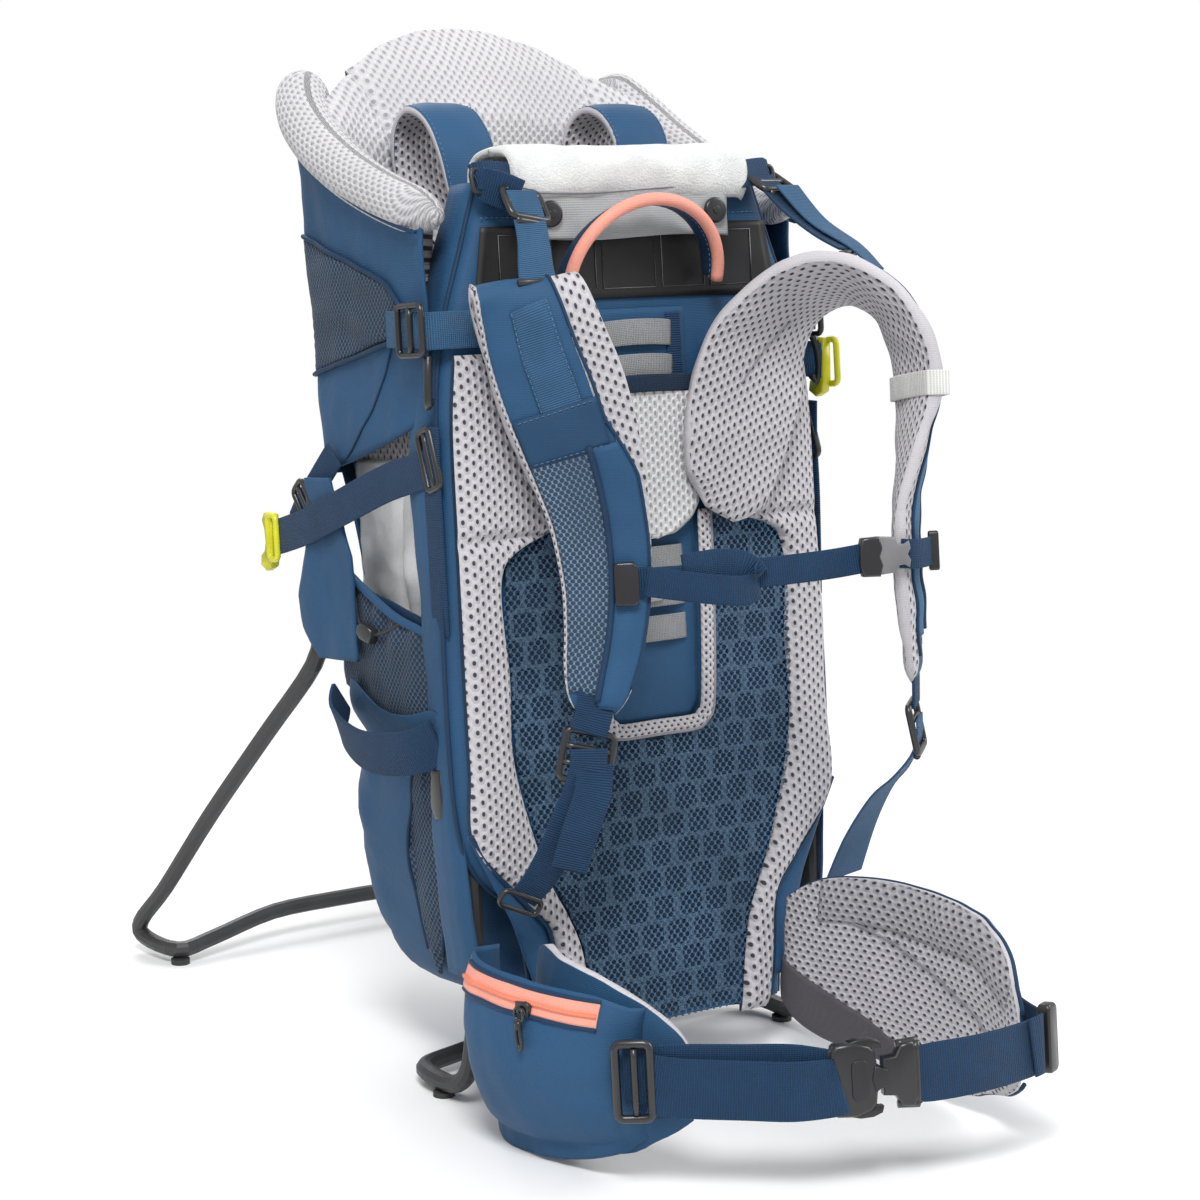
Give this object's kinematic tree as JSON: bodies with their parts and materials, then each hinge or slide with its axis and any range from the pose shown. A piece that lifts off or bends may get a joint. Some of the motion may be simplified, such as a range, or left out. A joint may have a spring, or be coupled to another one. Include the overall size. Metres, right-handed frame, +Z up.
{
  "type": "child carrier backpack",
  "caption": "Backpack child carrier with tube frame, folding stand, padded mesh back, shoulder and hip harness, child cockpit with headrest and a lower bag.",
  "frame": {"origin": "on the floor under the middle of the bounding box, with the pack standing on its stand", "axes": "+Z up, +X to the wearer's right-hand side of the back panel as seen from in front of it, -Y the side the wearer stands on"},
  "size_m": [0.3792, 0.7796, 0.7312],
  "materials": {
    "frame_tube": "powder coated, satin",
    "steel_pin": "satin",
    "black_plastic": "fine grain",
    "rubber_black": "matte",
    "yellow_plastic": "moulded",
    "red_plastic": "moulded",
    "grey_plastic": "moulded",
    "coral_fabric": "woven",
    "blue_fabric": "woven",
    "dark_mesh": "open mesh",
    "grey_mesh": "perforated spacer mesh",
    "grey_webbing": "ribbed webbing",
    "blue_webbing": "ribbed webbing",
    "white_fleece": "short pile",
    "foam": "foam, soft"
  },
  "bodies": {
    "pack": {"main_frame": "frame_tube", "side_struts": "frame_tube", "base_lugs": "rubber_black", "stand_pivots": "steel_pin", "back_board": "black_plastic", "panel_fabric": "blue_fabric", "foam_grid": "foam", "back_mesh": "dark_mesh", "back_pads": "grey_mesh", "channel_trim": "grey_mesh", "adjust_sleeve": "blue_fabric", "adjust_ladder": "grey_webbing", "yoke_tongue": "grey_mesh", "label_patch": "black_plastic", "chin_pad": "white_fleece", "snap_buttons": "black_plastic", "cockpit_shell": "blue_fabric", "cockpit_collar": "grey_mesh", "headrest": "grey_mesh", "seat_pad": "white_fleece", "seat_sides": "white_fleece", "child_back_pad": "grey_mesh", "child_harness": "blue_webbing", "harness_buckle": "black_plastic", "lower_bag": "blue_fabric", "side_pockets": "dark_mesh", "hinge_covers": "blue_fabric", "foot_stirrups": "blue_webbing", "side_straps": "blue_webbing", "side_sliders": "steel_pin", "entry_straps": "blue_webbing", "shoulder_pad_left": "blue_fabric", "shoulder_pad_right": "blue_fabric", "harness_webbing": "blue_webbing", "sternum_rails": "blue_fabric", "hose_loop": "white_fleece", "hip_fin_left": "blue_fabric", "hip_fin_right": "blue_fabric", "hip_pocket": "blue_fabric", "pocket_zip": "coral_fabric", "hip_webbing": "blue_webbing", "belt_sliders": "black_plastic", "hip_buckle": "black_plastic"},
    "stand": {"kickstand_tube": "frame_tube", "stand_knuckles": "black_plastic", "stand_lugs": "rubber_black"},
    "handle": {"grab_handle": "coral_fabric"},
    "press_button": {"harness_button": "red_plastic"},
    "left_clip": {"entry_clip_left": "yellow_plastic"},
    "right_clip": {"entry_clip_right": "yellow_plastic"},
    "left_shoulder_lock": {"shoulder_lock_left": "black_plastic"},
    "right_shoulder_lock": {"shoulder_lock_right": "black_plastic"},
    "left_load_lock": {"load_lock_left": "black_plastic"},
    "right_load_lock": {"load_lock_right": "black_plastic"},
    "chest_strap": {"sternum_strap": "blue_webbing", "sternum_buckle": "grey_plastic"},
    "pocket_slider": {"zip_slider": "black_plastic"},
    "pocket_pull": {"zip_pull": "black_plastic"},
    "upper_prong": {"hip_prong_upper": "black_plastic"},
    "lower_prong": {"hip_prong_lower": "black_plastic"}
  },
  "joints": [
    {"name": "stand_fold", "type": "hinge", "parent": "pack", "child": "stand", "pos_m": [0, 0.084, 0.33], "axis": [-1, 0, 0], "range_deg": [0, 38]},
    {"name": "handle_swing", "type": "hinge", "parent": "pack", "child": "handle", "pos_m": [0, -0.08026, 0.55886], "axis": [1, 0, 0], "range_deg": [0, 75]},
    {"name": "button_press", "type": "slide", "parent": "pack", "child": "press_button", "axis": [0, 0.9954, -0.0958], "range_m": [0, 0.002]},
    {"name": "left_clip_swing", "type": "hinge", "parent": "pack", "child": "left_clip", "pos_m": [-0.163, 0.14453, 0.36844], "axis": [0, 0.0958, 0.9954], "range_deg": [-25, 25]},
    {"name": "right_clip_swing", "type": "hinge", "parent": "pack", "child": "right_clip", "pos_m": [0.169, -0.07933, 0.49548], "axis": [0, 0.0958, 0.9954], "range_deg": [-25, 3]},
    {"name": "left_shoulder_lock_tilt", "type": "hinge", "parent": "pack", "child": "left_shoulder_lock", "pos_m": [-0.09025, -0.15027, 0.26369], "axis": [0.8554, -0.4749, -0.207], "range_deg": [-15, 20]},
    {"name": "right_shoulder_lock_tilt", "type": "hinge", "parent": "pack", "child": "right_shoulder_lock", "pos_m": [0.14159, -0.2072, 0.26646], "axis": [0.7519, 0.6582, 0.0373], "range_deg": [-15, 20]},
    {"name": "left_load_lock_tilt", "type": "hinge", "parent": "pack", "child": "left_load_lock", "pos_m": [-0.09646, -0.07808, 0.61912], "axis": [0.9841, 0.0838, -0.1564], "range_deg": [-10, 20]},
    {"name": "right_load_lock_tilt", "type": "hinge", "parent": "pack", "child": "right_load_lock", "pos_m": [0.11551, -0.06506, 0.62856], "axis": [0.9806, 0.1952, -0.0188], "range_deg": [-10, 20]},
    {"name": "chest_strap_height", "type": "slide", "parent": "pack", "child": "chest_strap", "axis": [0, 0.0958, 0.9954], "range_m": [-0.035, 0.03]},
    {"name": "pocket_zip_slide", "type": "slide", "parent": "pack", "child": "pocket_slider", "axis": [-0.1529, 0.9873, 0.0432], "range_m": [0, 0.05]},
    {"name": "pocket_pull_swing", "type": "hinge", "parent": "pocket_slider", "child": "pocket_pull", "pos_m": [-0.1861, -0.2071, 0.10754], "axis": [0.988, 0.1537, -0.0148], "range_deg": [-40, 40]},
    {"name": "buckle_prong_squeeze", "type": "slide", "parent": "pack", "child": "upper_prong", "axis": [0, -0.0958, -0.9954], "range_m": [0, 0.0022]},
    {"name": "buckle_prong_return", "type": "slide", "parent": "pack", "child": "lower_prong", "axis": [0, 0.0958, 0.9954], "range_m": [0, 0.0022]}
  ],
  "couplings": [
    {"joint": "buckle_prong_return", "follows": "buckle_prong_squeeze", "ratio": 1}
  ]
}
